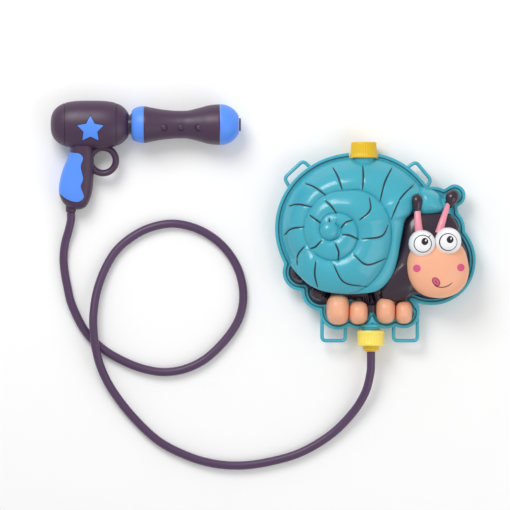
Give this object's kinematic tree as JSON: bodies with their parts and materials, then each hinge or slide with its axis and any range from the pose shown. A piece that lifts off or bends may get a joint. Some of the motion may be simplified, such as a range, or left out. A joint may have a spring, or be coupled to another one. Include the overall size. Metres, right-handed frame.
{
  "type": "backpack water pistol set",
  "caption": "Child's snail-shaped backpack water tank with a screw filler cap, a hose, and a pump-action water pistol whose foregrip slides to pump.",
  "frame": {"origin": "centre of the rigid pieces' footprint, on the plane that the tank's flat back and the pistol rest on", "axes": "+X along the pistol's barrel towards the nozzle, +Y from the tank's feet towards its filler cap, +Z out of the tank's front"},
  "size_m": [0.5092, 0.4422, 0.0693],
  "materials": {
    "teal": "glossy moulded polyethylene, teal",
    "yellow": "satin moulded plastic, bright yellow",
    "rubber": "matte black rubber",
    "white": "natural white plastic",
    "purple": "satin moulded plastic, dusty purple",
    "blue": "satin moulded plastic, sky blue",
    "dark": "dark moulded plastic",
    "steel": "bright steel",
    "hose": "soft vinyl hose, purple"
  },
  "bodies": {
    "root": {"tank_front_shell": "teal", "tank_back_shell": "teal", "filler_neck": "teal", "outlet_neck": "teal", "hose_tail": "yellow", "outlet_seal": "rubber", "outlet_strainer": "white", "feed_tube": "white", "inlet_valve_body": "white", "inlet_valve_retainer": "white", "cylinder_gland": "white", "housing_left": "purple", "housing_right": "purple", "rear_cap": "purple", "front_cap": "purple", "grip_hose_fitting": "purple", "star_badge_left": "blue", "star_badge_right": "blue", "grip_inlay_left": "blue", "grip_inlay_right": "blue", "pump_cylinder": "dark", "housing_screw_1": "steel", "housing_screw_2": "steel", "housing_screw_3": "steel", "housing_screw_4": "steel", "hose": "hose"},
    "filler_seal": {"filler_cap_seal": "rubber"},
    "filler_cap": {"filler_cap": "yellow"},
    "nut_slip": {"nut_washer": "white"},
    "outlet_nut": {"outlet_nut": "yellow"},
    "foregrip": {"foregrip_sleeve": "purple", "foregrip_rear_cap": "blue", "foregrip_nose_cap": "blue", "nozzle_tip": "dark", "plunger_tube": "white", "piston_head": "white", "piston_ring": "rubber", "outlet_valve_seat": "rubber", "outlet_valve_spring": "steel"},
    "inlet_ball": {"inlet_valve_ball": "steel"},
    "outlet_ball": {"outlet_valve_ball": "steel"}
  },
  "joints": [
    {"name": "filler_cap_lift", "type": "slide", "parent": "root", "child": "filler_seal", "axis": [0, 1, 0], "range_m": [0, 0.0201]},
    {"name": "filler_cap_turn", "type": "hinge", "parent": "filler_seal", "child": "filler_cap", "pos_m": [0.1204, 0.0914, 0.0212], "axis": [0, 1, 0], "range_deg": [0, 1800]},
    {"name": "outlet_nut_slide", "type": "slide", "parent": "root", "child": "nut_slip", "axis": [0, -1, 0], "range_m": [0, 0.0121]},
    {"name": "outlet_nut_turn", "type": "hinge", "parent": "nut_slip", "child": "outlet_nut", "pos_m": [0.129, -0.134, 0.0212], "axis": [0, -1, 0], "range_deg": [0, 1440]},
    {"name": "foregrip_slide", "type": "slide", "parent": "root", "child": "foregrip", "axis": [1, 0, 0], "range_m": [0, 0.08]},
    {"name": "inlet_ball_slide", "type": "slide", "parent": "root", "child": "inlet_ball", "axis": [1, 0, 0], "range_m": [0, 0.0028]},
    {"name": "outlet_ball_slide", "type": "slide", "parent": "foregrip", "child": "outlet_ball", "axis": [1, 0, 0], "range_m": [0, 0.0015], "stiffness_N_per_m": 100, "springref_m": -0.001, "deforming": ["outlet_valve_spring"]}
  ],
  "couplings": [
    {"joint": "filler_cap_lift", "follows": "filler_cap_turn", "m_per_rad": 0.0006366},
    {"joint": "outlet_nut_slide", "follows": "outlet_nut_turn", "m_per_rad": 0.00047746}
  ]
}
